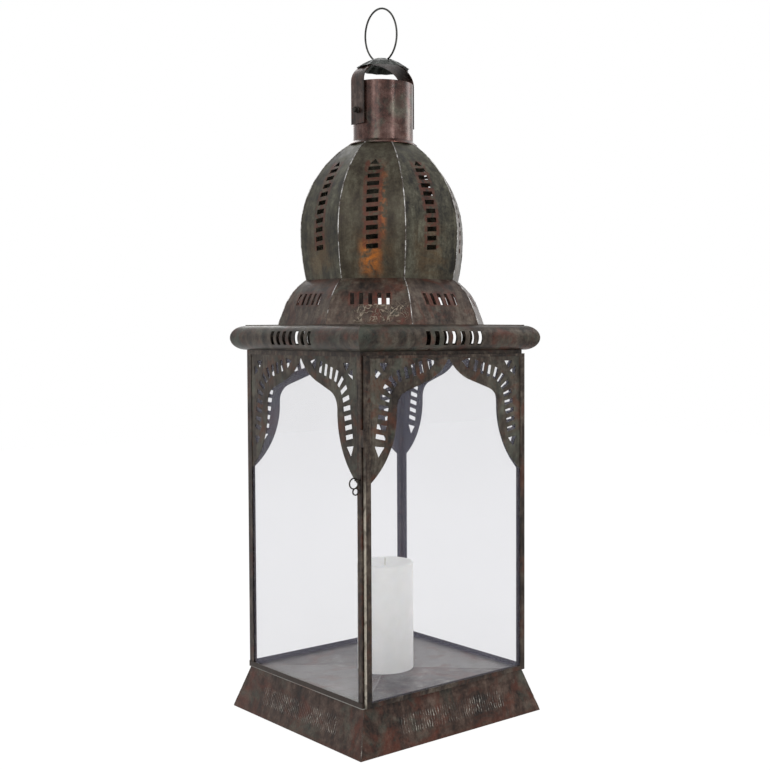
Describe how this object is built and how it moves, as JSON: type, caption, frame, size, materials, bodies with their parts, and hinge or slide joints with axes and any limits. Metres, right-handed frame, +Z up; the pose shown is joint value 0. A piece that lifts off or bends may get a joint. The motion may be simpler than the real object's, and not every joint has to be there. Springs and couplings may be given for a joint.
{
  "type": "floor lantern",
  "caption": "Tall square candle lantern with glazed arched sides, a hinged door, a pierced octagonal dome, a chimney tube with a strap handle, a fluted cap and a carry ring.",
  "frame": {"origin": "centre of the footprint, on the surface that the skirt stands on", "axes": "+Z up; -Y out of the door; +X to the hinge side of the door"},
  "size_m": [0.2998, 0.2998, 0.9494],
  "materials": {
    "aged_iron": "antiqued dark brown, satin",
    "rusty_dome": "antiqued, rust brown patches",
    "brown_tube": "reddish brown, semi gloss",
    "dark_cap": "dark, satin",
    "bare_steel": "dull",
    "clear_glass": "clear",
    "wax": "matt white wax",
    "wick_cord": "waxed cotton"
  },
  "bodies": {
    "lantern": {"skirt_front": "aged_iron", "skirt_left": "aged_iron", "skirt_back": "aged_iron", "skirt_right": "aged_iron", "floor_tray": "aged_iron", "post_front_left": "aged_iron", "post_front_right": "aged_iron", "post_back_left": "aged_iron", "post_back_right": "aged_iron", "top_rail_front": "aged_iron", "top_rail_left": "aged_iron", "top_rail_back": "aged_iron", "top_rail_right": "aged_iron", "arch_panel_left": "aged_iron", "arch_panel_back": "aged_iron", "arch_panel_right": "aged_iron", "glass_left": "clear_glass", "glass_back": "clear_glass", "glass_right": "clear_glass", "cornice_front": "aged_iron", "cornice_left": "aged_iron", "cornice_back": "aged_iron", "cornice_right": "aged_iron", "roof_deck": "aged_iron", "drum_panel_1": "rusty_dome", "drum_panel_2": "rusty_dome", "drum_panel_3": "rusty_dome", "drum_panel_4": "rusty_dome", "drum_panel_5": "rusty_dome", "drum_panel_6": "rusty_dome", "drum_panel_7": "rusty_dome", "drum_panel_8": "rusty_dome", "dome_gore_1": "rusty_dome", "dome_gore_2": "rusty_dome", "dome_gore_3": "rusty_dome", "dome_gore_4": "rusty_dome", "dome_gore_5": "rusty_dome", "dome_gore_6": "rusty_dome", "dome_gore_7": "rusty_dome", "dome_gore_8": "rusty_dome", "chimney_tube": "brown_tube", "handle_rivets": "bare_steel", "latch_staple": "bare_steel", "hinge_rod": "bare_steel", "hinge_frame_knuckles": "aged_iron"},
    "door": {"door_hinge_stile": "aged_iron", "door_free_stile": "aged_iron", "door_top_rail": "aged_iron", "door_bottom_rail": "aged_iron", "door_arch_panel": "aged_iron", "door_glass": "clear_glass", "door_lap_tab": "aged_iron"},
    "latch": {"latch_link": "bare_steel"},
    "handle": {"handle_strap": "aged_iron", "smoke_cap": "dark_cap"},
    "ring": {"carry_ring": "dark_cap"},
    "candle": {"candle": "wax", "wick": "wick_cord"}
  },
  "joints": [
    {"name": "door_hinge", "type": "hinge", "parent": "lantern", "child": "door", "pos_m": [0.1323, -0.1348, 0.2722], "axis": [0, 0, 1], "range_deg": [0, 110]},
    {"name": "latch_swing", "type": "hinge", "parent": "lantern", "child": "latch", "pos_m": [-0.13895, -0.12653, 0.3368], "axis": [0, 1, 0], "range_deg": [0, 120]},
    {"name": "handle_swing", "type": "hinge", "parent": "lantern", "child": "handle", "pos_m": [0, 0, 0.80984], "axis": [1, 0, 0], "range_deg": [-90, 90]},
    {"name": "ring_swing", "type": "hinge", "parent": "handle", "child": "ring", "pos_m": [0, 0, 0.87884], "axis": [0, 1, 0], "range_deg": [-30, 40]},
    {"name": "candle_lift", "type": "slide", "parent": "lantern", "child": "candle", "axis": [0, 0, 1], "range_m": [0, 0.1]}
  ]
}
